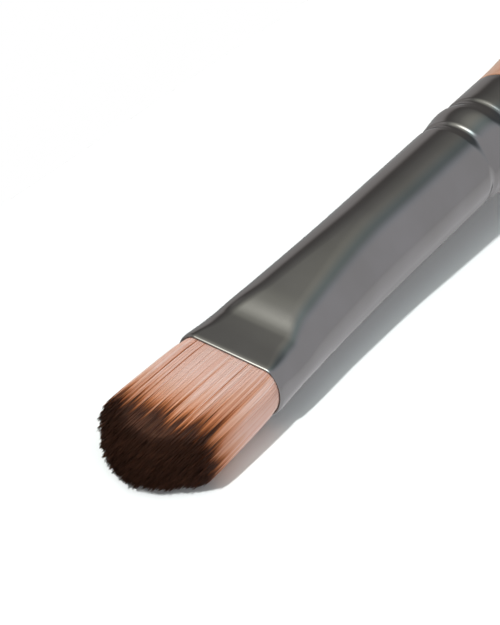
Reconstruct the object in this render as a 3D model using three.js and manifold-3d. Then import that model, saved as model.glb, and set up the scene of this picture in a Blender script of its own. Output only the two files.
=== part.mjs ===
// A flat concealer brush: a turned beech handle, a drawn metal ferrule whose mouth is pressed flat,
// and a domed tuft of filaments set in resin. Millimetres, +Z up. The brush lies level along Y,
// with its tip towards -Y and a wide face up.
import * as THREE from 'three';
import { mergeVertices } from 'three/addons/utils/BufferGeometryUtils.js';
import Module from 'manifold-3d';

const wasm = await Module();
wasm.setup();

// Ferrule: a round tube, pressed flat at its mouth
const FERRULE_LENGTH = 44;
const TUBE_DIAMETER = 8.3;
const TUBE_WALL = 0.35;
const MOUTH_WIDTH = 9.9;
const MOUTH_THICKNESS = 4.85;
const MOUTH_SQUARENESS = 3.9; // superellipse exponent of the pressed section, where 2 is round
const SQUARE_LENGTH = 16; // lip to where no corner is left in the section
const FLARE_LENGTH = 8.5; // lip to where the mouth's own flare ends
const PRESS_SPREAD = 0.25; // by how much the press pushes each narrow side out behind the flare
const SPREAD_START = 11; // from here the narrow sides draw in to the round tube
const FLAT_LENGTH = 2; // stretch behind the lip that the press leaves at one thickness
const PRESS_LENGTH = 20; // lip to the first round section
const BEND_START = 3.4; // the edge of the press dies bends the wide faces from here
const BEND_END = 8.8;
const BEND_SHARE = 0.42; // share of the flattening that the bend takes back
const LIP_ROUNDING = 0.1;

// Crimp that holds the handle: a bead between two rolled grooves with steep rear walls, then a collar.
// Places are distances from the back edge of the ferrule.
const FRONT_GROOVE_FROM_BACK = 9.4;
const CREST_FROM_BACK = 6.7;
const REAR_GROOVE_FROM_BACK = 5.05;
const GROOVE_RUN = 1.1; // the front groove's gentle front wall
const GROOVE_DEPTH = 0.16;
const WALL_RUN = 0.5; // the steep rear wall of either groove
const WALL_RISE = 0.15;
const BEAD_HEIGHT = 0.25;
const COLLAR_RISE = 0.1;

// Handle: turned with a tenon, a belly behind the ferrule and a long taper to a rounded end
const HANDLE_LENGTH = 103.5; // without the tenon
const BELLY_DIAMETER = 12.2;
const BELLY_FROM_FERRULE = 20;
const TAIL_DIAMETER = 5.4;
const TAIL_ROUNDING = 3.2;
const TENON_LENGTH = 21;
const TENON_CHAMFER = 0.8;
const SWELL_EASE = 0.5; // share of each long stretch that leaves its ends parallel to the axis

// Adhesive and the clearance that seated pieces keep
const GLUE_THICKNESS = 0.45;
const GLUE_SETBACK = 1; // from the tenon's front and from the back edge of the ferrule
const RESIN_LENGTH = 9;
const SEAT_GAP = 0.15;

// Tuft: filaments rooted behind the lip in slices of resin, trimmed to a dome
const TUFT_LENGTH = 13.4; // lip to the crown of the dome
const TUFT_SIDE_DROP = 3.95; // how much sooner the filaments at the sides end
const TUFT_FACE_DROP = 1.7; // how much sooner those on the wide faces end
const SIDE_POWER = 2; // the dome is a parabola across, and a little blunter through the thickness
const FACE_POWER = 2.4;
const TRIM_UNEVENNESS = 0.3;
const GOLDEN_STEP = 0.618034; // spreads the unevenness over neighbouring strands
const TIP_WIDTH = 11.1; // the bundle swells beyond the lip
const TIP_THICKNESS = 4.7;
const ROOT_DEPTH = 4.2; // lip to the front of the root slices
const SLICE_LENGTH = 1.2;
const SLICE_GAP = 0.2; // between the slices of neighbouring layers
const LAYER_NAMES = ['bristles_bottom', 'bristles_lower', 'bristles_upper', 'bristles_top'];
const ROWS_PER_LAYER = 3;
const STRANDS_ACROSS = 32;
const STRAND_SIDES = 3;
const STRAND_RADIUS = 0.1;
const STRAND_TIP_RADIUS = 0.07;

// Fineness of the facets
const AROUND = 36;
const AROUND_HIDDEN = 24;
const BEND_STEPS = 7;
const FADE_STEPS = 4;
const RESIN_STEPS = 8;
const WALL_STEPS = 3;
const BEAD_STEPS = 4;
const CURVE_STEPS = 9;
const WELD_DISTANCE = 1e-4;

const tubeRadius = TUBE_DIAMETER / 2;
const frontGrooveAt = FERRULE_LENGTH - FRONT_GROOVE_FROM_BACK;
const crestAt = FERRULE_LENGTH - CREST_FROM_BACK;
const rearGrooveAt = FERRULE_LENGTH - REAR_GROOVE_FROM_BACK;
const boreRadius = tubeRadius - TUBE_WALL;
const tenonRadius = boreRadius - GLUE_THICKNESS - 2 * SEAT_GAP;
const tenonFront = FERRULE_LENGTH + SEAT_GAP - TENON_LENGTH;
const handleEnd = FERRULE_LENGTH + SEAT_GAP + HANDLE_LENGTH;

// Falls from 1 at the start to 0 at the end, level at both, and the sooner the higher the power
function fade(s, start, end, power) {
  const t = THREE.MathUtils.clamp((s - start) / (end - start), 0, 1);
  return (1 - t) ** power * (1 + power * t);
}

// Half width, half thickness and squareness of the ferrule's outer section at a distance s behind the lip
function section(s) {
  const bend = fade(s, BEND_START, BEND_END, 3);
  const slope = fade(s, FLAT_LENGTH, PRESS_LENGTH, 2);
  const flat = THREE.MathUtils.lerp(slope, bend, BEND_SHARE);
  const flare = Math.max(0, 1 - s / FLARE_LENGTH) ** 2;
  const spread = tubeRadius + PRESS_SPREAD * fade(s, SPREAD_START, PRESS_LENGTH, 2);
  return {
    halfWidth: THREE.MathUtils.lerp(spread, MOUTH_WIDTH / 2, flare),
    halfThickness: THREE.MathUtils.lerp(tubeRadius, MOUTH_THICKNESS / 2, flat),
    squareness: THREE.MathUtils.lerp(2, MOUTH_SQUARENESS, fade(s, 0, SQUARE_LENGTH, 3)),
  };
}

// How far the crimp and the collar stand out of the plain tube, or sink into it, at a distance s
function relief(s) {
  const climb = (from, to) => THREE.MathUtils.smoothstep(s, from, to);
  const swell = GROOVE_DEPTH + BEAD_HEIGHT - WALL_RISE;
  const fall = BEAD_HEIGHT + WALL_RISE - COLLAR_RISE;
  const sink = GROOVE_DEPTH * climb(frontGrooveAt - GROOVE_RUN, frontGrooveAt);
  const frontWall = WALL_RISE * climb(frontGrooveAt, frontGrooveAt + WALL_RUN);
  const bead = swell * climb(frontGrooveAt, crestAt) - fall * climb(crestAt, rearGrooveAt);
  const rearWall = WALL_RISE * climb(rearGrooveAt, rearGrooveAt + WALL_RUN);
  return frontWall - sink + bead + rearWall;
}

// Evenly spaced distances, both ends included
function stations(from, to, steps) {
  const step = (to - from) / steps;
  return Array.from({ length: steps + 1 }, (_, i) => from + step * i);
}

// Distances that follow the front groove, the bead and the rear groove
function crimpStations() {
  const sink = stations(frontGrooveAt - GROOVE_RUN, frontGrooveAt, WALL_STEPS);
  const frontWall = stations(frontGrooveAt, frontGrooveAt + WALL_RUN, WALL_STEPS);
  const swell = stations(frontGrooveAt + WALL_RUN, crestAt, BEAD_STEPS);
  const fall = stations(crestAt, rearGrooveAt, BEAD_STEPS);
  const rearWall = stations(rearGrooveAt, rearGrooveAt + WALL_RUN, WALL_STEPS);
  return [sink, frontWall, swell, fall, rearWall].flatMap((run, i) => (i === 0 ? run : run.slice(1)));
}

const point = (radius, s) => new THREE.Vector2(radius, s);

// Turns a profile about the brush's axis, with a facet and not an edge on top
const turned = (profile, around) => new THREE.LatheGeometry(profile, around, -Math.PI / around);

// Presses a turned piece as the mouth is pressed: each point keeps its depth below the outer skin
function pressed(geometry) {
  const position = geometry.getAttribute('position');
  for (let i = 0; i < position.count; i += 1) {
    const radius = Math.hypot(position.getX(i), position.getZ(i));
    if (radius > 0) {
      const depth = tubeRadius - radius;
      const shape = section(position.getY(i));
      const power = 2 / shape.squareness;
      const across = position.getX(i) / radius;
      const up = position.getZ(i) / radius;
      position.setX(i, (shape.halfWidth - depth) * Math.sign(across) * Math.abs(across) ** power);
      position.setZ(i, (shape.halfThickness - depth) * Math.sign(up) * Math.abs(up) ** power);
    }
  }
  return geometry;
}

// One tube wall, out along the skin and back along the bore, closed round the lip and the back edge
function ferrule() {
  const bend = stations(BEND_START, BEND_END, BEND_STEPS);
  const slope = stations(BEND_END, PRESS_LENGTH, FADE_STEPS).slice(1);
  const distances = [LIP_ROUNDING, FLAT_LENGTH, ...bend, ...slope, ...crimpStations(), FERRULE_LENGTH];
  const skin = distances.map((s) => point(tubeRadius + relief(s), s));
  const bore = distances.map((s) => point(boreRadius + relief(s), s)).reverse();
  const lip = [point(boreRadius + LIP_ROUNDING, 0), point(tubeRadius - LIP_ROUNDING, 0)];
  return pressed(turned([...lip, ...skin, ...bore, lip[0]], AROUND));
}

// Tenon, shoulder, belly, taper and rounded end in one outline
function handle() {
  const shoulderAt = FERRULE_LENGTH + SEAT_GAP;
  const shoulderRadius = tubeRadius + COLLAR_RISE;
  const bellyRadius = BELLY_DIAMETER / 2;
  const bellyAt = shoulderAt + BELLY_FROM_FERRULE;
  const tailRadius = TAIL_DIAMETER / 2;
  const tailAt = handleEnd - TAIL_ROUNDING;
  const swell = SWELL_EASE * BELLY_FROM_FERRULE;
  const taper = SWELL_EASE * (tailAt - bellyAt);
  const outline = new THREE.Path();
  outline.moveTo(0, tenonFront);
  outline.lineTo(tenonRadius - TENON_CHAMFER, tenonFront);
  outline.lineTo(tenonRadius, tenonFront + TENON_CHAMFER);
  outline.lineTo(tenonRadius, shoulderAt);
  outline.lineTo(shoulderRadius, shoulderAt);
  outline.bezierCurveTo(
    shoulderRadius, shoulderAt + swell, bellyRadius, bellyAt - swell, bellyRadius, bellyAt,
  );
  outline.bezierCurveTo(bellyRadius, bellyAt + taper, tailRadius, tailAt - taper, tailRadius, tailAt);
  outline.quadraticCurveTo(tailRadius, handleEnd, 0, handleEnd);
  return new THREE.LatheGeometry(outline.getPoints(CURVE_STEPS), AROUND);
}

// Sleeve of adhesive round the tenon, dented where the grooves pinch it
function tenonGlue() {
  const front = tenonFront + GLUE_SETBACK;
  const back = FERRULE_LENGTH - GLUE_SETBACK;
  const inside = tenonRadius + SEAT_GAP;
  const outside = (s) => boreRadius - SEAT_GAP + Math.min(relief(s), 0);
  const skin = [front, ...crimpStations(), back].map((s) => point(outside(s), s));
  const profile = [point(inside, front), ...skin, point(inside, back), point(inside, front)];
  return turned(profile, AROUND_HIDDEN);
}

// A plug that fills the bore between two distances behind the lip
function plug(from, to, steps, around) {
  const radius = boreRadius - SEAT_GAP;
  const wall = stations(from, to, steps).map((s) => point(radius, s));
  return pressed(turned([point(0, from), ...wall, point(0, to)], around));
}

// A closed solid that manifold-3d can join and cut
function solid(geometry) {
  const bare = geometry.clone();
  bare.deleteAttribute('normal');
  bare.deleteAttribute('uv');
  const welded = mergeVertices(bare, WELD_DISTANCE);
  const corners = Array.from(welded.index.array);
  const triangles = [];
  for (let i = 0; i < corners.length; i += 3) {
    const [a, b, c] = corners.slice(i, i + 3);
    if (a !== b && b !== c && c !== a) triangles.push(a, b, c);
  }
  const mesh = new wasm.Mesh({
    numProp: 3,
    vertProperties: new Float32Array(welded.getAttribute('position').array),
    triVerts: new Uint32Array(triangles),
  });
  return new wasm.Manifold(mesh);
}

// The three.js geometry of a joined or cut solid
function geometryOf(manifold) {
  const mesh = manifold.getMesh();
  const geometry = new THREE.BufferGeometry();
  geometry.setAttribute('position', new THREE.BufferAttribute(mesh.vertProperties, mesh.numProp));
  geometry.setIndex(new THREE.BufferAttribute(mesh.triVerts, 1));
  geometry.computeVertexNormals();
  return geometry;
}

// Half sizes of the filament pattern where it is rooted, in the mouth and at the tip
function patternSizes() {
  const inset = TUBE_WALL + SEAT_GAP + STRAND_RADIUS;
  const root = section(ROOT_DEPTH);
  return {
    root: [root.halfWidth - inset, root.halfThickness - inset],
    mouth: [MOUTH_WIDTH / 2 - inset, MOUTH_THICKNESS / 2 - inset],
    tip: [TIP_WIDTH / 2 - STRAND_TIP_RADIUS, TIP_THICKNESS / 2 - STRAND_TIP_RADIUS],
  };
}

// Places of the strands as shares of the half width and half thickness, in staggered rows by layer
function strandPlaces() {
  const rows = LAYER_NAMES.length * ROWS_PER_LAYER;
  const power = section(ROOT_DEPTH).squareness;
  const pitch = 2 / STRANDS_ACROSS;
  const places = [];
  for (let row = 0; row < rows; row += 1) {
    const up = (2 * row + 1) / rows - 1;
    const reach = (1 - Math.abs(up) ** power) ** (1 / power);
    const stagger = row % 2 === 0 ? 0 : pitch / 2;
    const half = Math.floor((reach - stagger) / pitch);
    for (let column = -half - (stagger ? 1 : 0); column <= half; column += 1) {
      places.push({ layer: Math.floor(row / ROWS_PER_LAYER), across: column * pitch + stagger, up });
    }
  }
  return places;
}

// Length of a strand beyond the lip, on the trimmed dome, with a little unevenness from its number
function strandLength(place, number) {
  const uneven = TRIM_UNEVENNESS * ((number * GOLDEN_STEP) % 1);
  const side = TUFT_SIDE_DROP * Math.abs(place.across) ** SIDE_POWER;
  const face = TUFT_FACE_DROP * Math.abs(place.up) ** FACE_POWER;
  return TUFT_LENGTH - side - face - uneven;
}

// Closed, narrow strands from inside their slice, through the mouth, to the dome
function strandGeometry(strands) {
  const sizes = patternSizes();
  const corners = [];
  const faces = [];
  for (const { across, up, length } of strands) {
    const first = corners.length / 3;
    const rings = [
      { s: ROOT_DEPTH + SLICE_LENGTH / 2, size: sizes.root, radius: STRAND_RADIUS },
      { s: 0, size: sizes.mouth, radius: STRAND_RADIUS },
      { s: -length, size: sizes.tip, radius: STRAND_TIP_RADIUS },
    ];
    for (const { s, size, radius } of rings) {
      for (let side = 0; side < STRAND_SIDES; side += 1) {
        const angle = (2 * Math.PI * side) / STRAND_SIDES;
        const x = across * size[0] + radius * Math.cos(angle);
        const z = up * size[1] + radius * Math.sin(angle);
        corners.push(x, s, z);
      }
    }
    for (let ring = 0; ring < rings.length - 1; ring += 1) {
      for (let side = 0; side < STRAND_SIDES; side += 1) {
        const a = first + ring * STRAND_SIDES + side;
        const b = first + ring * STRAND_SIDES + ((side + 1) % STRAND_SIDES);
        faces.push(a, b, a + STRAND_SIDES, b, b + STRAND_SIDES, a + STRAND_SIDES);
      }
    }
    const last = first + (rings.length - 1) * STRAND_SIDES;
    for (let side = 1; side < STRAND_SIDES - 1; side += 1) {
      faces.push(first, first + side + 1, first + side, last, last + side, last + side + 1);
    }
  }
  const geometry = new THREE.BufferGeometry();
  geometry.setAttribute('position', new THREE.Float32BufferAttribute(corners, 3));
  geometry.setIndex(faces);
  return geometry;
}

// One layer of the tuft: its strands joined to its own slice of the root resin
function bristleLayer(strands, layer) {
  const height = (2 * patternSizes().root[1]) / LAYER_NAMES.length;
  const middle = (layer + 0.5 - LAYER_NAMES.length / 2) * height;
  const band = new THREE.BoxGeometry(MOUTH_WIDTH, 2 * SLICE_LENGTH, height - SLICE_GAP);
  band.translate(0, ROOT_DEPTH + SLICE_LENGTH / 2, middle);
  const slice = solid(plug(ROOT_DEPTH, ROOT_DEPTH + SLICE_LENGTH, 1, AROUND)).intersect(solid(band));
  return geometryOf(slice.add(solid(strandGeometry(strands))));
}

function piece(name, geometry, colour, roughness, metalness) {
  const material = new THREE.MeshStandardMaterial({ color: colour, roughness, metalness });
  const mesh = new THREE.Mesh(geometry, material);
  mesh.name = name;
  return mesh;
}

const strands = strandPlaces().map((place, number) => ({ ...place, length: strandLength(place, number) }));
const reach = Math.max(...strands.map((strand) => strand.length));
const resinFront = ROOT_DEPTH + SLICE_LENGTH + SEAT_GAP;

// The ferrule with what it holds in front
const head = new THREE.Group();
head.add(piece('ferrule', ferrule(), 0x77746f, 0.32, 1));
const resin = plug(resinFront, resinFront + RESIN_LENGTH, RESIN_STEPS, AROUND_HIDDEN);
head.add(piece('root_resin', resin, 0xd8c9a0, 0.3, 0));
LAYER_NAMES.forEach((name, layer) => {
  const own = strands.filter((strand) => strand.layer === layer);
  head.add(piece(name, bristleLayer(own, layer), 0xd2b3a2, 0.55, 0));
});

// The handle with the adhesive on its tenon
const grip = new THREE.Group();
grip.add(piece('handle', handle(), 0xd1a58c, 0.45, 0));
grip.add(piece('tenon_glue', tenonGlue(), 0xe8e2cf, 0.5, 0));

// The origin is on the ground under the middle of the brush's length
const brush = new THREE.Group();
brush.position.set(0, (reach - handleEnd) / 2, BELLY_DIAMETER / 2);
brush.add(head, grip);

export default brush;
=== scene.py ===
import math

import bpy
import numpy as np
from mathutils import Matrix, Vector


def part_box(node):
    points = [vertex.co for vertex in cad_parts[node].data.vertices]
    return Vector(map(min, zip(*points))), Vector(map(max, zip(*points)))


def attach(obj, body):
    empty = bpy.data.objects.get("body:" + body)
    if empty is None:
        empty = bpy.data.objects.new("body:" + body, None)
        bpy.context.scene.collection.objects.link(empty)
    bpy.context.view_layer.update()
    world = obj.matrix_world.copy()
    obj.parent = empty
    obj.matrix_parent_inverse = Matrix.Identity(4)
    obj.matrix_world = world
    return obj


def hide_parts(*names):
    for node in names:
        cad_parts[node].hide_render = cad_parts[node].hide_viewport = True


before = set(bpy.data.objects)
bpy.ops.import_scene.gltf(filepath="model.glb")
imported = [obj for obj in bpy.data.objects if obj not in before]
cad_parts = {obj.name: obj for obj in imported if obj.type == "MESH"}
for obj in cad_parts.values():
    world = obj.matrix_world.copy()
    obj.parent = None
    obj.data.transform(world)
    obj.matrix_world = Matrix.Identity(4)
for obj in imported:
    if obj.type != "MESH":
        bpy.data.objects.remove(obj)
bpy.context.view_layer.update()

MM = 0.001

# Places and sizes that the frame gives, in millimetres along the brush from the ferrule's lip
FERRULE_LOW, FERRULE_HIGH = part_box("ferrule")
HANDLE_LOW, HANDLE_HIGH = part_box("handle")
LIP_Y = FERRULE_LOW.y
AXIS_Z = (HANDLE_LOW.z + HANDLE_HIGH.z) / 2
FERRULE_LENGTH = (FERRULE_HIGH.y - LIP_Y) / MM
BELLY_RADIUS = (HANDLE_HIGH.z - HANDLE_LOW.z) / 2 / MM
HANDLE_END = (HANDLE_HIGH.y - LIP_Y) / MM
TENON_FRONT = (HANDLE_LOW.y - LIP_Y) / MM

# Ferrule, as in the solids, but with a thin wall and the flat faces and round sides that a press leaves
TUBE_RADIUS = 4.15
TUBE_WALL = 0.28
MOUTH_THICKNESS = 4.85
SPREAD = 0.53
FLARE = 0.37
FLARE_LENGTH = 9.0
LIP_SQUARENESS = 0.28
LIP_SQUARE_LENGTH = 3.0
FLAT_LENGTH = 2.0
PRESS_LENGTH = 20.0
BEND_START = 4.0
BEND_END = 8.6
BEND_POWER = 4
BEND_SHARE = 0.4
LIP_EASE = 0.4
LIP_OUTER = 0.14
FRONT_GROOVE_AT = FERRULE_LENGTH - 9.4
CREST_AT = FERRULE_LENGTH - 6.7
REAR_GROOVE_AT = FERRULE_LENGTH - 5.05
GROOVE_RUN = 1.1
GROOVE_DEPTH = 0.16
WALL_RUN = 0.5
WALL_RISE = 0.15
BEAD_HEIGHT = 0.25
COLLAR_RISE = 0.1
# Points along each stretch of the ferrule's profile, and round its section
PRESS_POINTS = 100
TUBE_POINTS = 14
CRIMP_POINTS = 120
COLLAR_POINTS = 6
BACK_EDGE_POINTS = 13
BORE_POINTS = 80
LIP_POINTS = 9
FERRULE_SIDES = 192

# Handle, as in the solids
BELLY_AT = FERRULE_LENGTH + 20.15
TAIL_RADIUS = 2.7
TAIL_ROUNDING = 3.2
TENON_RADIUS = 3.05
TENON_CHAMFER = 0.8
SWELL_EASE = 0.5
SHOULDER_EASE = 0.12
TAIL_TIP_RADIUS = 0.05
# Points along each stretch of the handle's profile, and round it
SHOULDER_POINTS = 5
SWELL_POINTS = 40
TAPER_POINTS = 70
TAIL_POINTS = 14
HANDLE_SIDES = 128

# Tuft: real filaments, finer than the solids' strands
TUFT_LENGTH = 13.7
TUFT_SIDE_DROP = 3.95
SIDE_POWER = 2.0
TUFT_FACE_DROP = 1.8
FACE_POWER = 2.4
TRIM_UNEVENNESS = 0.145
TIP_HALF_WIDTH = 5.38
TIP_HALF_THICKNESS = 2.35
ROOT_DEPTH = 3.6
FILAMENT_RADIUS = 0.045
FILAMENT_PITCH = 0.08
FILAMENT_SIDES = 4
# Points round each ring of places in the mouth, and how far a place strays, as a share of the pitch
MOUTH_SIDES = 720
PLACE_SHAKE = 0.08
# Groups of neighbours: spikes gather to a point, strands and locks share dye, bands share a shade
SPIKE_SIZE = 0.2
SPIKE_GATHER = 0.6
GATHER_POWER = 6
STRAND_SIZE = 0.13
LOCK_SIZE = 0.5
BAND_SIZE = 1.3
GROUP_STAGGER = 0.37
# Partings in the top face: places across, reach, push and depth, opened and closed by shares of the run
PARTINGS = (-3.05, -2.35, 1.78)
PARTING_REACH = 0.16
PARTING_WIDTH = 0.02
PARTING_DEPTH = 0.2
PARTING_OPENING = 0.05
PARTING_RUN = 0.75
# Filaments in a parting are darkened along the dye's ramp to no less than this, in mm from its edge
PARTING_DARKENING = -0.55
# A streak across which the dye fades slowly
STREAK_AT = 3.5
STREAK_REACH = 0.6
# Where the dye starts, as mm across and mm beyond the lip
DYE_EDGE = ((-5.0, 9.2), (-3.2, 8.6), (-1.0, 8.5), (0.0, 8.3),
            (1.2, 8.5), (2.4, 8.6), (3.6, 8.2), (4.6, 8.9))
# Spread of the dye's start by lock, by strand and by filament
DYE_LOCKS = 0.2
DYE_STRANDS = 0.55
DYE_OWN = 0.25
# Share of strands on which the dye wicks further, and how much it stretches there
WICK_SHARE = 0.1
WICK_IN_STREAK = 0.5
WICK_STRETCH = 1.5
WICK_SPREAD = 0.7
WICK_SPREAD_IN_STREAK = 3.0
STREAK_STRETCH = 1.4
# Spread of the filaments' own shade by band, by strand and by filament
SHADE_MIDDLE = 0.34
SHADE_BANDS = 0.07
SHADE_STRANDS = 0.16
SHADE_OWN = 0.1
# Lean of a tip by lock and by filament, across and up
LEAN_LOCKS = (0.05, 0.03)
LEAN_OWN = (0.025, 0.02)
# Stations as shares of the free length, the lip first
FREE_SHARES = (0.0, 0.12, 0.28, 0.46, 0.64, 0.8, 0.92, 1.0)
# Drawn radius at the root and then at each station, as a share of the filament's
TAPER = (1.0, 1.0, 1.05, 1.12, 1.18, 1.2, 1.12, 0.85, 0.3)
# Margins that keep dye and shade off the ends of their range
DYE_MARGIN = 0.002
SHADE_MARGIN = 0.02
LAYERS = ("bristles_bottom", "bristles_lower", "bristles_upper", "bristles_top")

# The photograph's camera, fitted to the ferrule's outline
IMAGE_WIDTH = 500
IMAGE_HEIGHT = 625
CAMERA_AZIMUTH = math.radians(34.39)
CAMERA_ELEVATION = math.radians(39.63)
CAMERA_ROLL = -0.0131
FOCAL_PIXELS = 2309.6
LIP_DISTANCE = 181.82
LIP_PIXEL = (228.7, 375.9)
SENSOR = 36.0

rng = np.random.default_rng(11)


def place(x, s, z):
    """Metres in the row frame of points x across, s behind the lip and z above the axis, in mm."""
    return np.stack(np.broadcast_arrays(x * MM, LIP_Y + s * MM, AXIS_Z + z * MM), axis=-1)


def fade(value, start, end, power=2):
    """Falls from 1 at the start to 0 at the end, level at both, and the sooner the higher the power."""
    t = np.clip((value - start) / (end - start), 0, 1)
    return (1 - t) ** power * (1 + power * t)


def bezier(start, lead, follow, end, count):
    """Points of a cubic curve, the start left out."""
    t = np.linspace(0, 1, count + 1)[1:, None]
    start, lead, follow, end = (np.array(p) for p in (start, lead, follow, end))
    return (1 - t) ** 3 * start + 3 * (1 - t) ** 2 * t * lead + 3 * (1 - t) * t ** 2 * follow + t ** 3 * end


def section(s):
    """Half width, half thickness and the run of the round sides of the ferrule's outer section at s.

    The press leaves flat faces between round sides, which are a little squarer at the lip."""
    press = fade(s, FLAT_LENGTH, PRESS_LENGTH)
    flat = (1 - BEND_SHARE) * press + BEND_SHARE * fade(s, BEND_START, BEND_END, BEND_POWER)
    half_width = TUBE_RADIUS + SPREAD * press + FLARE * fade(s, 0, FLARE_LENGTH)
    half_thickness = TUBE_RADIUS + (MOUTH_THICKNESS / 2 - TUBE_RADIUS) * flat
    return half_width, half_thickness, half_thickness * (1 - LIP_SQUARENESS * fade(s, 0, LIP_SQUARE_LENGTH))


def sides_and_angles(count):
    """The side, 1 or -1, and the angle of points round a section, evenly turned and none at its middle."""
    turn = (np.arange(count // 2) + 0.5) / (count // 2) * np.pi
    sides = np.repeat([1.0, -1.0], count // 2)
    return sides, np.concatenate([turn - np.pi / 2, turn + np.pi / 2])


def climb(s, start, end):
    """Rises from 0 at the start to 1 at the end, level at both."""
    return 1 - fade(s, start, end)


def relief(s):
    """Height over the plain tube at s: two rolled grooves with steep rear walls, a bead and a collar."""
    swell = GROOVE_DEPTH + BEAD_HEIGHT - WALL_RISE
    fall = BEAD_HEIGHT + WALL_RISE - COLLAR_RISE
    front = WALL_RISE * climb(s, FRONT_GROOVE_AT, FRONT_GROOVE_AT + WALL_RUN)
    front = front - GROOVE_DEPTH * climb(s, FRONT_GROOVE_AT - GROOVE_RUN, FRONT_GROOVE_AT)
    bead = swell * climb(s, FRONT_GROOVE_AT, CREST_AT) - fall * climb(s, CREST_AT, REAR_GROOVE_AT)
    return front + bead + WALL_RISE * climb(s, REAR_GROOVE_AT, REAR_GROOVE_AT + WALL_RUN)


# Materials

def linear(code):
    """Linear colour of an sRGB hex value."""
    channels = [int(code[i:i + 2], 16) / 255 for i in (1, 3, 5)]
    return [c / 12.92 if c <= 0.04045 else ((c + 0.055) / 1.055) ** 2.4 for c in channels] + [1.0]


def node(tree, kind, inputs=None, stops=None, **settings):
    """Adds a node with its settings, links or sets its inputs, and fills its colour ramp."""
    made = tree.nodes.new(kind)
    for key, value in settings.items():
        setattr(made, key, value)
    for key, value in (inputs or {}).items():
        if isinstance(value, bpy.types.NodeSocket):
            tree.links.new(value, made.inputs[key])
        else:
            made.inputs[key].default_value = value
    for index, (position, code) in enumerate(stops or []):
        elements = made.color_ramp.elements
        element = elements[index] if index < 2 else elements.new(position)
        element.position = position
        element.color = linear(code)
    return made


def new_material(name):
    """An empty node material and its tree."""
    material = bpy.data.materials.new(name)
    material.use_nodes = True
    material.node_tree.nodes.clear()
    return material, material.node_tree


def gunmetal_plate():
    """Drawn brass under dark nickel plate: a satin grey mirror with faint draw lines along the tube."""
    material, tree = new_material("dark_nickel_plated_brass")
    coords = node(tree, "ShaderNodeTexCoord").outputs["Object"]
    # Drawn coarser than on the real plate, so that the lines show
    draw_spacing = 0.3 * MM
    stretch = node(tree, "ShaderNodeMapping", {"Vector": coords, "Scale": (1, 0.03, 1)}).outputs["Vector"]
    lines = node(tree, "ShaderNodeTexNoise", {"Vector": stretch, "Scale": 1 / draw_spacing, "Detail": 2.0})
    cloud_size = 5 * MM
    clouds = node(tree, "ShaderNodeTexNoise", {"Vector": coords, "Scale": 1 / cloud_size, "Detail": 2.0})
    tone = node(tree, "ShaderNodeValToRGB", {"Fac": clouds.outputs["Fac"]},
                stops=[(0.3, "#797877"), (0.7, "#7e7d7d")])
    satin = node(tree, "ShaderNodeMapRange",
                 {"Value": lines.outputs["Fac"], "To Min": 0.11, "To Max": 0.16}).outputs["Result"]
    bump = node(tree, "ShaderNodeBump", {"Height": lines.outputs["Fac"], "Strength": 0.02,
                                         "Distance": 0.01 * MM}).outputs["Normal"]
    surface = node(tree, "ShaderNodeBsdfPrincipled", {
        "Base Color": tone.outputs["Color"], "Metallic": 1.0, "Specular Tint": linear("#dedede"),
        "Roughness": satin, "Normal": bump})
    node(tree, "ShaderNodeOutputMaterial", {"Surface": surface.outputs["BSDF"]})
    return material


def lacquered_beech():
    """Steamed beech, turned and sealed: pale pink-brown with short dark ray flecks under thin lacquer."""
    material, tree = new_material("lacquered_beech")
    coords = node(tree, "ShaderNodeTexCoord").outputs["Object"]
    fleck_width = 0.35 * MM
    along = node(tree, "ShaderNodeMapping", {"Vector": coords, "Scale": (1, 0.12, 1)}).outputs["Vector"]
    flecks = node(tree, "ShaderNodeTexNoise", {"Vector": along, "Scale": 1 / fleck_width, "Detail": 2.0})
    ring_width = 2.2 * MM
    bands = node(tree, "ShaderNodeMapping", {"Vector": coords, "Scale": (1, 0.05, 1)}).outputs["Vector"]
    rings = node(tree, "ShaderNodeTexNoise", {"Vector": bands, "Scale": 1 / ring_width, "Detail": 4.0,
                                              "Distortion": 0.6})
    body = node(tree, "ShaderNodeValToRGB", {"Fac": rings.outputs["Fac"]},
                stops=[(0.3, "#a87a5d"), (0.5, "#b28368"), (0.72, "#bb9074")])
    marks = node(tree, "ShaderNodeMapRange", {"Value": flecks.outputs["Fac"], "From Min": 0.56,
                                              "From Max": 0.7, "To Max": 0.55}).outputs["Result"]
    colour = node(tree, "ShaderNodeMix", {"Factor": marks, "A": body.outputs["Color"],
                                          "B": linear("#9f6e50")}, data_type="RGBA")
    bump = node(tree, "ShaderNodeBump", {"Height": flecks.outputs["Fac"], "Strength": 0.08,
                                         "Distance": 0.03 * MM}).outputs["Normal"]
    surface = node(tree, "ShaderNodeBsdfPrincipled", {
        "Base Color": colour.outputs["Result"], "Roughness": 0.42, "IOR": 1.5, "Coat Weight": 0.35,
        "Coat Roughness": 0.2, "Normal": bump})
    node(tree, "ShaderNodeOutputMaterial", {"Surface": surface.outputs["BSDF"]})
    return material


# The map's V starts this far before the dye's edge and spans this much, in mm
DYE_BEFORE = 4.0
DYE_SPAN = 7.0


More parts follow.
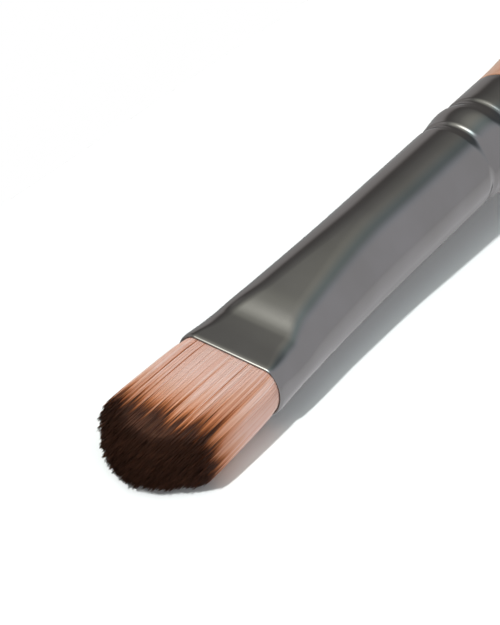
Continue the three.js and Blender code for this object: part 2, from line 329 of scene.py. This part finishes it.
def dyed_polyester():
    """Extruded polyester filament, its tips dipped in brown dye that creeps up each one by another length.

    The map's U is the filament's own shade and its V runs through the dye's edge."""
    material, tree = new_material("dip_dyed_polyester_filament")
    place_on = node(tree, "ShaderNodeUVMap", uv_map="OFBake").outputs["UV"]
    split = node(tree, "ShaderNodeSeparateXYZ", {"Vector": place_on})
    from_edge = (-3.9, -2.6, -1.4, -0.75, -0.25, 0.3, 0.9, 2.0)
    stations = [(distance + DYE_BEFORE) / DYE_SPAN for distance in from_edge]
    # The last stop, at the tips, is lighter than the one before it: painted light that offsets the shade
    # among the tapered tips
    dark = ("#d4aa99", "#c9987f", "#ba8468", "#9e6140", "#784427", "#4b2a1b", "#35211a", "#402a20")
    pale = ("#ddc8c1", "#d7b3a1", "#d8a88d", "#d08e64", "#b47249", "#784a32", "#4c3226", "#664434")
    tones = [node(tree, "ShaderNodeValToRGB", {"Fac": split.outputs["Y"]}, stops=list(zip(stations, codes)))
             for codes in (dark, pale)]
    colour = node(tree, "ShaderNodeMix", {"Factor": split.outputs["X"], "A": tones[0].outputs["Color"],
                                          "B": tones[1].outputs["Color"]}, data_type="RGBA")
    surface = node(tree, "ShaderNodeBsdfPrincipled", {
        "Base Color": colour.outputs["Result"], "Roughness": 0.5, "IOR": 1.55,
        "Specular IOR Level": 0.15})
    node(tree, "ShaderNodeOutputMaterial", {"Surface": surface.outputs["BSDF"]})
    return material


def cast_resin(name, code, grain, roughness):
    """Cured adhesive, poured inside the ferrule: cloudy, with fine bubbles that mottle its colour."""
    material, tree = new_material(name)
    coords = node(tree, "ShaderNodeTexCoord").outputs["Object"]
    bubbles = node(tree, "ShaderNodeTexNoise", {"Vector": coords, "Scale": 1 / (grain * MM), "Detail": 3.0})
    tone = node(tree, "ShaderNodeMapRange", {"Value": bubbles.outputs["Fac"], "To Min": 0.85, "To Max": 1.1})
    colour = node(tree, "ShaderNodeHueSaturation", {"Color": linear(code), "Value": tone.outputs["Result"]})
    surface = node(tree, "ShaderNodeBsdfPrincipled", {
        "Base Color": colour.outputs["Color"], "Roughness": roughness, "IOR": 1.52})
    node(tree, "ShaderNodeOutputMaterial", {"Surface": surface.outputs["BSDF"]})
    return material


# Pieces

def new_piece(name, points, faces, material, slot, *nodes):
    """A smooth mesh that rides on the brush and stands for the named nodes."""
    mesh = bpy.data.meshes.new(name)
    mesh.from_pydata(points, [], faces)
    mesh.polygons.foreach_set("use_smooth", [True] * len(mesh.polygons))
    mesh.materials.append(material)
    mesh.update()
    piece = bpy.data.objects.new(name, mesh)
    bpy.context.collection.objects.link(piece)
    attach(piece, "root")
    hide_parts(*nodes)
    return piece


def ring_faces(rings, around, closed):
    """Outward quads between neighbouring rings, the last joined to the first on a closed profile."""
    ring, step = np.meshgrid(np.arange(rings if closed else rings - 1), np.arange(around), indexing="ij")
    ahead = (ring + 1) % rings
    turn = (step + 1) % around
    quads = [ring * around + step, ahead * around + step, ahead * around + turn, ring * around + turn]
    return np.stack(quads, axis=-1).reshape(-1, 4)


def make_ferrule(material):
    """A drawn tube pressed at the mouth: back along the skin, forward along the bore and round the lip."""
    edge = TUBE_WALL / 2
    lip_inner = TUBE_WALL - LIP_OUTER
    crimp_front = FRONT_GROOVE_AT - GROOVE_RUN
    crimp_back = REAR_GROOVE_AT + WALL_RUN
    half_turn = np.linspace(0, np.pi, BACK_EDGE_POINTS)[1:-1]
    quarter = np.linspace(np.pi / 2, 0, LIP_POINTS)
    skin = np.concatenate([
        np.linspace(LIP_EASE, PRESS_LENGTH, PRESS_POINTS)[1:],
        np.linspace(PRESS_LENGTH, crimp_front, TUBE_POINTS)[1:],
        np.linspace(crimp_front, crimp_back, CRIMP_POINTS)[1:],
        np.linspace(crimp_back, FERRULE_LENGTH - edge, COLLAR_POINTS)[1:]])
    bore = np.linspace(FERRULE_LENGTH - edge, lip_inner, BORE_POINTS)
    s = np.concatenate([
        skin, FERRULE_LENGTH - edge + edge * np.sin(half_turn), bore,
        lip_inner * (1 - np.cos(quarter[1:])), LIP_EASE * (1 - np.sin(quarter[1:]))])
    depth = np.concatenate([
        np.zeros(len(skin)), edge * (1 - np.cos(half_turn)), np.full(len(bore), TUBE_WALL),
        LIP_OUTER + lip_inner * np.sin(quarter[1:]), LIP_OUTER * (1 - np.cos(quarter[1:]))])
    sides, angle = sides_and_angles(FERRULE_SIDES)
    half_width, half_thickness, side_run = (v[:, None] for v in section(s))
    inset = (depth - relief(s))[:, None]
    across = sides * (half_width - side_run) + (side_run - inset) * np.cos(angle)
    points = place(across, s[:, None], (half_thickness - inset) * np.sin(angle))
    faces = ring_faces(len(s), FERRULE_SIDES, True)
    new_piece("ferrule_shell", points.reshape(-1, 3), faces, material, "gunmetal_plate", "ferrule")


def make_handle(material):
    """A turned handle with its tenon, belly, long taper and rounded end."""
    collar = TUBE_RADIUS + COLLAR_RISE
    shoulder = FERRULE_LENGTH + SHOULDER_EASE
    tail_at = HANDLE_END - TAIL_ROUNDING
    swell = SWELL_EASE * (BELLY_AT - FERRULE_LENGTH)
    taper = SWELL_EASE * (tail_at - BELLY_AT)
    tenon = np.array([
        (TENON_RADIUS - TENON_CHAMFER, TENON_FRONT), (TENON_RADIUS, TENON_FRONT + TENON_CHAMFER),
        (TENON_RADIUS, shoulder), (collar - SHOULDER_EASE, shoulder)])
    profile = np.concatenate([
        tenon,
        bezier(tenon[-1], (collar, shoulder), (collar, shoulder),
               (collar, FERRULE_LENGTH + 2 * SHOULDER_EASE), SHOULDER_POINTS),
        bezier((collar, FERRULE_LENGTH), (collar, FERRULE_LENGTH + swell),
               (BELLY_RADIUS, BELLY_AT - swell), (BELLY_RADIUS, BELLY_AT), SWELL_POINTS),
        bezier((BELLY_RADIUS, BELLY_AT), (BELLY_RADIUS, BELLY_AT + taper),
               (TAIL_RADIUS, tail_at - taper), (TAIL_RADIUS, tail_at), TAPER_POINTS),
        bezier((TAIL_RADIUS, tail_at), (TAIL_RADIUS, HANDLE_END - TAIL_ROUNDING / 3),
               (TAIL_RADIUS * 2 / 3, HANDLE_END), (TAIL_TIP_RADIUS, HANDLE_END), TAIL_POINTS)])
    angle = np.linspace(0, 2 * np.pi, HANDLE_SIDES, endpoint=False)
    radius, s = profile[:, :1], profile[:, 1:]
    points = place(radius * np.cos(angle), s, radius * np.sin(angle)).reshape(-1, 3)
    faces = ring_faces(len(profile), HANDLE_SIDES, False).tolist()
    last = (len(profile) - 1) * HANDLE_SIDES
    faces += [list(range(HANDLE_SIDES)), list(range(last + HANDLE_SIDES - 1, last - 1, -1))]
    new_piece("handle_turning", points, faces, material, "lacquered_beech", "handle")


def filament_places():
    """Places of the filaments in the mouth, ring inside ring, in mm across and up from the axis."""
    mouth_width, mouth_thickness, mouth_run = section(0.0)
    straight = mouth_width - mouth_run
    side_run = mouth_run - TUBE_WALL - FILAMENT_RADIUS
    half_thickness = mouth_thickness - TUBE_WALL - FILAMENT_RADIUS
    row_pitch = FILAMENT_PITCH * math.sqrt(3) / 2
    sides, angle = (np.append(v, v[0]) for v in sides_and_angles(MOUTH_SIDES))
    across, up = [], []
    for inset in np.arange(0, half_thickness, row_pitch):
        ring_x = sides * straight + (side_run - inset) * np.cos(angle)
        ring_z = (half_thickness - inset) * np.sin(angle)
        length = np.concatenate([[0], np.cumsum(np.hypot(np.diff(ring_x), np.diff(ring_z)))])
        count = int(length[-1] / FILAMENT_PITCH)
        at = (np.arange(count) + rng.random()) * length[-1] / count % length[-1]
        across.append(np.interp(at, length, ring_x))
        up.append(np.interp(at, length, ring_z))
    across, up = np.concatenate(across), np.concatenate(up)
    shake = rng.normal(0, PLACE_SHAKE * FILAMENT_PITCH, (2, len(across)))
    return across + shake[0], up + shake[1], straight, side_run, half_thickness


def lock_numbers(across, up, size):
    """Which lock each filament belongs to, for staggered locks of the given size."""
    row = np.floor(up / size)
    column = np.floor(across / size + GROUP_STAGGER * row)
    return np.unique(np.stack([column, row], axis=1), axis=0, return_inverse=True)[1].ravel()


def shared(locks, spread):
    """A random value that the filaments of a lock share."""
    return rng.normal(0, spread, locks.max() + 1)[locks]


def middle(locks, values):
    """The mean value of each filament's lock."""
    return (np.bincount(locks, values) / np.bincount(locks))[locks]


def make_tuft(material):
    """Thousands of tapered filaments from inside the lip to the trimmed dome, in four layers."""
    across, up, straight, side_run, half_thickness = filament_places()
    half_width = straight + side_run
    count = len(across)
    side = across / half_width
    face = up / half_thickness
    spikes = lock_numbers(across, up, SPIKE_SIZE)
    strands = lock_numbers(across, up, STRAND_SIZE)
    locks = lock_numbers(across, up, LOCK_SIZE)
    beside = np.clip((np.abs(across) - straight) / side_run, 0, 1)
    depth = half_thickness * np.sqrt(1 - beside ** 2) - up

    dome = TUFT_SIDE_DROP * np.abs(side) ** SIDE_POWER + TUFT_FACE_DROP * np.abs(face) ** FACE_POWER
    uneven = shared(spikes, TRIM_UNEVENNESS) - np.abs(rng.normal(0, TRIM_UNEVENNESS, count))
    length = TUFT_LENGTH - dome + uneven

    # Stations along each filament: inside the ferrule, at the lip, then shares of the free length
    shares = np.array(FREE_SHARES)
    beyond = np.concatenate([np.full((count, 1), -ROOT_DEPTH), length[:, None] * shares], axis=1)
    run = np.clip(beyond / TUFT_LENGTH, 0, 1)
    own_run = np.concatenate([[0.0], shares])

    # The bundle swells as it leaves the lip and its sides splay
    splay = (TIP_HALF_WIDTH - half_width) * np.sign(side) * side ** 2
    swell = (TIP_HALF_THICKNESS - half_thickness) * face
    x = across[:, None] + splay[:, None] * np.sqrt(run)
    x[:, 0] = across * section(ROOT_DEPTH)[0] / section(0.0)[0]
    z = up[:, None] + swell[:, None] * np.sqrt(run)

    # Each filament leans a little by itself, and a few at a time gather to a point
    lean_x = shared(locks, LEAN_LOCKS[0]) + rng.normal(0, LEAN_OWN[0], count)
    lean_z = shared(locks, LEAN_LOCKS[1]) + rng.normal(0, LEAN_OWN[1], count)
    gather_x = SPIKE_GATHER * (middle(spikes, across) - across)
    gather_z = SPIKE_GATHER * (middle(spikes, up) - up)
    x = x + lean_x[:, None] * run ** 2 + gather_x[:, None] * own_run ** GATHER_POWER
    z = z + lean_z[:, None] * run ** 2 + gather_z[:, None] * own_run ** GATHER_POWER

    # Partings in the top face open just beyond the lip and close towards the tips
    for line in PARTINGS:
        aside = across - line
        push = PARTING_WIDTH * np.sign(aside) * np.exp(-(aside / PARTING_REACH) ** 2)
        push = push * np.clip(1 - depth / PARTING_DEPTH, 0, 1)
        opened = np.clip(run / PARTING_OPENING, 0, 1)
        x = x + push[:, None] * opened * np.clip(1 - run / PARTING_RUN, 0, 1)

    # Drawn a little thicker where the bundle spreads, then tapered to the tip
    radius = FILAMENT_RADIUS * np.array(TAPER)

    # Distance beyond the edge of the dye, which wicks further up some strands and fades slowly on them
    start = np.interp(across, *np.array(DYE_EDGE).T) + shared(locks, DYE_LOCKS)
    start = start + shared(strands, DYE_STRANDS) + rng.normal(0, DYE_OWN, count)
    streak = np.exp(-((across - STREAK_AT) / STREAK_REACH) ** 2) * (face > 0)
    draws = rng.random((2, strands.max() + 1))[:, strands]
    wicked = draws[0] < WICK_SHARE + WICK_IN_STREAK * streak
    reach = WICK_STRETCH + draws[1] * (WICK_SPREAD + WICK_SPREAD_IN_STREAK * streak)
    stretch = np.where(wicked, reach, 1 + STREAK_STRETCH * streak)
    dyed = beyond - start[:, None]
    dyed = np.where(dyed < 0, dyed / stretch[:, None], dyed)
    # Filaments in a parting are darkened along the dye's ramp
    in_parting = np.abs(across[:, None] - np.array(PARTINGS)).min(axis=1) < FILAMENT_PITCH / 2
    in_parting = in_parting & (depth < PARTING_DEPTH) & (face > 0)
    dyed = np.where(in_parting[:, None], np.maximum(dyed, PARTING_DARKENING), dyed)
    dye = np.clip((dyed + DYE_BEFORE) / DYE_SPAN, DYE_MARGIN, 1 - DYE_MARGIN)
    bands = lock_numbers(across, up, BAND_SIZE)
    shade = SHADE_MIDDLE + shared(bands, SHADE_BANDS) + shared(strands, SHADE_STRANDS)
    shade = shade + rng.normal(0, SHADE_OWN, count)
    shade = np.clip(shade, SHADE_MARGIN, 1 - SHADE_MARGIN)

    layer = np.clip(((face + 1) / 2 * len(LAYERS)).astype(int), 0, len(LAYERS) - 1)
    turn = 2 * np.pi * np.arange(FILAMENT_SIDES) / FILAMENT_SIDES
    rings = beyond.shape[1]
    for index, node_name in enumerate(LAYERS):
        own = layer == index
        number = int(own.sum())
        ring_x = x[own][:, :, None] + radius[None, :, None] * np.cos(turn)
        ring_z = z[own][:, :, None] + radius[None, :, None] * np.sin(turn)
        points = place(ring_x, -beyond[own][:, :, None], ring_z).reshape(-1, 3)
        block = rings * FILAMENT_SIDES
        quads = ring_faces(rings, FILAMENT_SIDES, False)[:, ::-1]
        caps = np.array([np.arange(FILAMENT_SIDES), block - 1 - np.arange(FILAMENT_SIDES)])
        one = np.concatenate([quads, caps])
        faces = (one[None] + block * np.arange(number)[:, None, None]).reshape(-1, FILAMENT_SIDES)
        piece = new_piece("filaments_" + node_name.split("_")[1], points, faces.tolist(),
                          material, "filament", node_name)
        own_shade = np.repeat(shade[own], block)
        own_dye = np.repeat(dye[own].ravel(), FILAMENT_SIDES)
        corners = np.empty(len(piece.data.loops), int)
        piece.data.loops.foreach_get("vertex_index", corners)
        coordinates = np.stack([own_shade, own_dye], axis=1)[corners]
        piece.data.uv_layers.new(name="OFBake").data.foreach_set("uv", coordinates.ravel())


make_ferrule(gunmetal_plate())
make_handle(lacquered_beech())
make_tuft(dyed_polyester())
resins = {
    "root_resin": cast_resin("cast_epoxy", "#d8c9a0", grain=0.8, roughness=0.3),
    "tenon_glue": cast_resin("cured_wood_adhesive", "#e8e2cf", grain=0.5, roughness=0.5)}
for name, material in resins.items():
    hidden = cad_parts[name]
    hidden.data.materials.clear()
    hidden.data.materials.append(material)


# Studio

# The sheet under the brush: where the tip touches it, how far the tip gives, and its room below the belly
TIP_CONTACT = 11.5
TIP_GIVE = 0.25
BELLY_CLEARANCE = 1.5
SHEET_HALF_WIDTH = 32.0
SHEET_HALF_LENGTH = 145.0
# The sheet as the metal mirrors it, a glow with painted shade under the brush and painted light beside it,
# by mm across
MIRRORED_SHEET_PAINTED_SHADE_AND_LIGHT = ((-26.0, "#b8b8b8"), (-10.0, "#9f9f9f"), (2.5, "#9f9f9f"), (5.5, "#fbfafd"),
                  (28.0, "#dad9dc"))
MIRRORED_SHEET_PAINTED_GLOW = 1.3
# The sheet's colour for the light that it throws back, and for the camera
SHEET_COLOUR = "#f0f0f0"
SHEET_FOR_CAMERA = "#f6f9f9"
# Lamps: direction, strength and angle in degrees; the key leans from the sheet's normal
KEY_LEAN = (-0.16, -0.65, 0.0)
KEY_STRENGTH = 2.65
KEY_ANGLE = 3
FILL_FROM = (0.9, -0.35, 0.12)
FILL_STRENGTH = 1.6
FILL_ANGLE = 40
# The room by height of the direction, from below the horizon to overhead
ROOM_HEIGHTS = ((-0.35, "#b0acab"), (-0.12, "#bab6b5"), (0.0, "#bcb8b7"), (0.1, "#b8b3b2"),
                (0.18, "#9c9795"), (0.26, "#6c6866"), (0.42, "#747270"), (0.64, "#92918d"),
                (0.79, "#bcbcb3"), (0.87, "#c8c8bf"), (0.93, "#cecec6"))
# Dark back wall, grey card on the left and pale card on the right, each with its soft sides
BACK_SIDES = (("Y", 0.72, 0.88), ("X", 0.4, 0.1))
LEFT_SIDES = (("X", -0.75, -0.87), ("Y", 0.5, 0.3))
RIGHT_SIDES = (("X", 0.11, 0.38), ("Z", -0.6, -0.4))
ROOM_CARDS = (("#757270", BACK_SIDES), ("#b8b4b2", LEFT_SIDES), ("#d2d1d5", RIGHT_SIDES))
# A cool cast a little right of the middle, by share of the way from left to right
ROOM_TINT = ((0.4, "#ffffff"), (0.55, "#d8eaf5"), (0.72, "#ffffff"))
# A softbox in front and a weaker panel overhead, as soft sides and the gain inside them
SOFTBOX_SIDES = (("X", -0.6, -0.3), ("X", 0.33, 0.0), ("Y", -0.8, -0.5), ("Y", 0.09, -0.08),
                 ("Z", 0.2, 0.5))
SOFTBOX_GAIN = 5.5
OVERHEAD_SIDES = (("X", -0.85, -0.6), ("X", 0.33, 0.0), ("Y", 0.3, 0.05), ("Z", 0.4, 0.6))
OVERHEAD_GAIN = 1.5
# Level of the room as light and as mirrored
ROOM_LIGHT = 0.47
ROOM_SHINE = 1.5


def make_floor():
    """A white sheet that the tuft's soft tip presses on and that clears the ferrule and the handle; to the
    metal it glows with painted shade and light.
    """
    material, tree = new_material("white_studio_sheet")
    ray = node(tree, "ShaderNodeLightPath")
    level = node(tree, "ShaderNodeMix", {"Factor": ray.outputs["Is Camera Ray"], "A": linear(SHEET_COLOUR),
                                         "B": linear(SHEET_FOR_CAMERA)}, data_type="RGBA")
    sheet = node(tree, "ShaderNodeBsdfDiffuse", {"Color": level.outputs["Result"]})
    place_on = node(tree, "ShaderNodeTexCoord").outputs["Object"]
    split = node(tree, "ShaderNodeSeparateXYZ", {"Vector": place_on})
    # For glossy rays the sheet glows with painted shade under the brush and painted light beside it, in
    # place of its lit colour
    sideways = node(tree, "ShaderNodeMapRange", {
        "Value": split.outputs["X"], "From Min": -SHEET_HALF_WIDTH * MM,
        "From Max": SHEET_HALF_WIDTH * MM}).outputs["Result"]
    painted_shade_and_light = node(tree, "ShaderNodeValToRGB", {"Fac": sideways},
                    stops=[(x / SHEET_HALF_WIDTH / 2 + 0.5, code) for x, code in MIRRORED_SHEET_PAINTED_SHADE_AND_LIGHT])
    white = node(tree, "ShaderNodeEmission", {"Color": painted_shade_and_light.outputs["Color"],
                                              "Strength": MIRRORED_SHEET_PAINTED_GLOW})
    both = node(tree, "ShaderNodeMixShader", {"Fac": ray.outputs["Is Glossy Ray"], 1: sheet.outputs["BSDF"],
                                              2: white.outputs["Emission"]})
    node(tree, "ShaderNodeOutputMaterial", {"Surface": both.outputs["Shader"]})
    front = Vector(place(0.0, -TIP_CONTACT, TIP_GIVE - TIP_HALF_THICKNESS))
    back = Vector(place(0.0, BELLY_AT, -BELLY_RADIUS - BELLY_CLEARANCE))
    along = (back - front).normalized()
    right = Vector((1, 0, 0))
    middle_of_sheet = (front + back) / 2
    corners = [middle_of_sheet + right * x * SHEET_HALF_WIDTH * MM + along * y * SHEET_HALF_LENGTH * MM
               for x, y in ((-1, -1), (1, -1), (1, 1), (-1, 1))]
    mesh = bpy.data.meshes.new("studio_floor")
    mesh.from_pydata(corners, [], [(0, 1, 2, 3)])
    mesh.materials.append(material)
    floor = bpy.data.objects.new("studio_floor", mesh)
    bpy.context.collection.objects.link(floor)
    return right.cross(along)


def make_lamp(name, towards, energy, angle):
    """A soft distant lamp that the metal doesn't mirror: the room and its softbox give the shine."""
    lamp = bpy.data.lights.new(name, "SUN")
    lamp.energy = energy
    lamp.angle = math.radians(angle)
    held = bpy.data.objects.new(name, lamp)
    held.rotation_mode = "QUATERNION"
    held.rotation_quaternion = towards.to_track_quat("Z", "Y")
    held.visible_glossy = False
    bpy.context.collection.objects.link(held)


def patch(tree, split, sides):
    """Share of a direction inside soft sides, each an axis with the values where it starts and is full."""
    inside = 1.0
    for axis, out, full in sides:
        edge = node(tree, "ShaderNodeMapRange", {"Value": split.outputs[axis], "From Min": out,
                                                 "From Max": full},
                    interpolation_type="SMOOTHSTEP").outputs["Result"]
        inside = node(tree, "ShaderNodeMath", {0: inside, 1: edge}, operation="MULTIPLY").outputs["Value"]
    return inside


def make_world():
    """White for the camera; for light and shine, a dim room with cards, a softbox and an overhead panel."""
    world = bpy.data.worlds.new("studio")
    world.use_nodes = True
    tree = world.node_tree
    tree.nodes.clear()
    direction = node(tree, "ShaderNodeTexCoord").outputs["Generated"]
    split = node(tree, "ShaderNodeSeparateXYZ", {"Vector": direction})
    upright = node(tree, "ShaderNodeMapRange", {"Value": split.outputs["Z"], "From Min": -1.0})
    height = node(tree, "ShaderNodeValToRGB", {"Fac": upright.outputs["Result"]},
                  stops=[((z + 1) / 2, code) for z, code in ROOM_HEIGHTS])
    room = height.outputs["Color"]
    for code, sides in ROOM_CARDS:
        inside = patch(tree, split, sides)
        room = node(tree, "ShaderNodeMix", {"Factor": inside, "A": room, "B": linear(code)},
                    data_type="RGBA").outputs["Result"]
    sideways = node(tree, "ShaderNodeMapRange", {"Value": split.outputs["X"], "From Min": -1.0})
    tint = node(tree, "ShaderNodeValToRGB", {"Fac": sideways.outputs["Result"]}, stops=ROOM_TINT)
    tinted = node(tree, "ShaderNodeMix", {"Factor": 1.0, "A": room, "B": tint.outputs["Color"]},
                  data_type="RGBA", blend_type="MULTIPLY")
    panel = patch(tree, split, SOFTBOX_SIDES)
    softbox = node(tree, "ShaderNodeMapRange", {"Value": panel, "To Min": 1.0, "To Max": SOFTBOX_GAIN})
    overhead = patch(tree, split, OVERHEAD_SIDES)
    glow = node(tree, "ShaderNodeMapRange", {"Value": overhead, "To Min": 1.0, "To Max": OVERHEAD_GAIN})
    lamps = node(tree, "ShaderNodeMath", {0: softbox.outputs["Result"], 1: glow.outputs["Result"]},
                 operation="MULTIPLY")
    ray = node(tree, "ShaderNodeLightPath")
    shine = node(tree, "ShaderNodeMapRange", {"Value": ray.outputs["Is Glossy Ray"], "To Min": ROOM_LIGHT,
                                              "To Max": ROOM_SHINE})
    level = node(tree, "ShaderNodeMath", {0: lamps.outputs["Value"], 1: shine.outputs["Result"]},
                 operation="MULTIPLY")
    dim = node(tree, "ShaderNodeBackground", {"Color": tinted.outputs["Result"],
                                              "Strength": level.outputs["Value"]})
    white = node(tree, "ShaderNodeBackground", {"Color": linear("#ffffff"), "Strength": 1.0})
    both = node(tree, "ShaderNodeMixShader", {
        "Fac": ray.outputs["Is Camera Ray"], 1: dim.outputs["Background"], 2: white.outputs["Background"]})
    node(tree, "ShaderNodeOutputWorld", {"Surface": both.outputs["Shader"]})
    bpy.context.scene.world = world


def make_camera():
    """The photograph's camera: its angles, and the pixel and distance of the middle of the lip."""
    data = bpy.data.cameras.new("photo_camera")
    data.sensor_width = SENSOR
    data.lens = FOCAL_PIXELS * SENSOR / IMAGE_HEIGHT
    data.clip_start = 0.01
    data.clip_end = 20
    a, e = CAMERA_AZIMUTH, CAMERA_ELEVATION
    back = Vector((math.sin(a) * math.cos(e), -math.cos(a) * math.cos(e), math.sin(e)))
    level_right = Vector((math.cos(a), math.sin(a), 0))
    level_up = back.cross(level_right)
    turn = CAMERA_ROLL
    right = math.cos(turn) * level_right - math.sin(turn) * level_up
    up = math.sin(turn) * level_right + math.cos(turn) * level_up
    across = (LIP_PIXEL[0] - IMAGE_WIDTH / 2) / FOCAL_PIXELS * LIP_DISTANCE * MM
    above = (IMAGE_HEIGHT / 2 - LIP_PIXEL[1]) / FOCAL_PIXELS * LIP_DISTANCE * MM
    lip = Vector(place(0.0, 0.0, 0.0))
    eye = lip - right * across - up * above + back * LIP_DISTANCE * MM
    camera = bpy.data.objects.new("photo_camera", data)
    camera.matrix_world = Matrix.Translation(eye) @ Matrix((right, up, back)).transposed().to_4x4()
    bpy.context.collection.objects.link(camera)
    bpy.context.scene.camera = camera


floor_normal = make_floor()
make_lamp("key_light", floor_normal + Vector(KEY_LEAN), KEY_STRENGTH, KEY_ANGLE)
make_lamp("fill_light", Vector(FILL_FROM), FILL_STRENGTH, FILL_ANGLE)
make_world()
make_camera()
bpy.context.scene.view_settings.view_transform = "Standard"
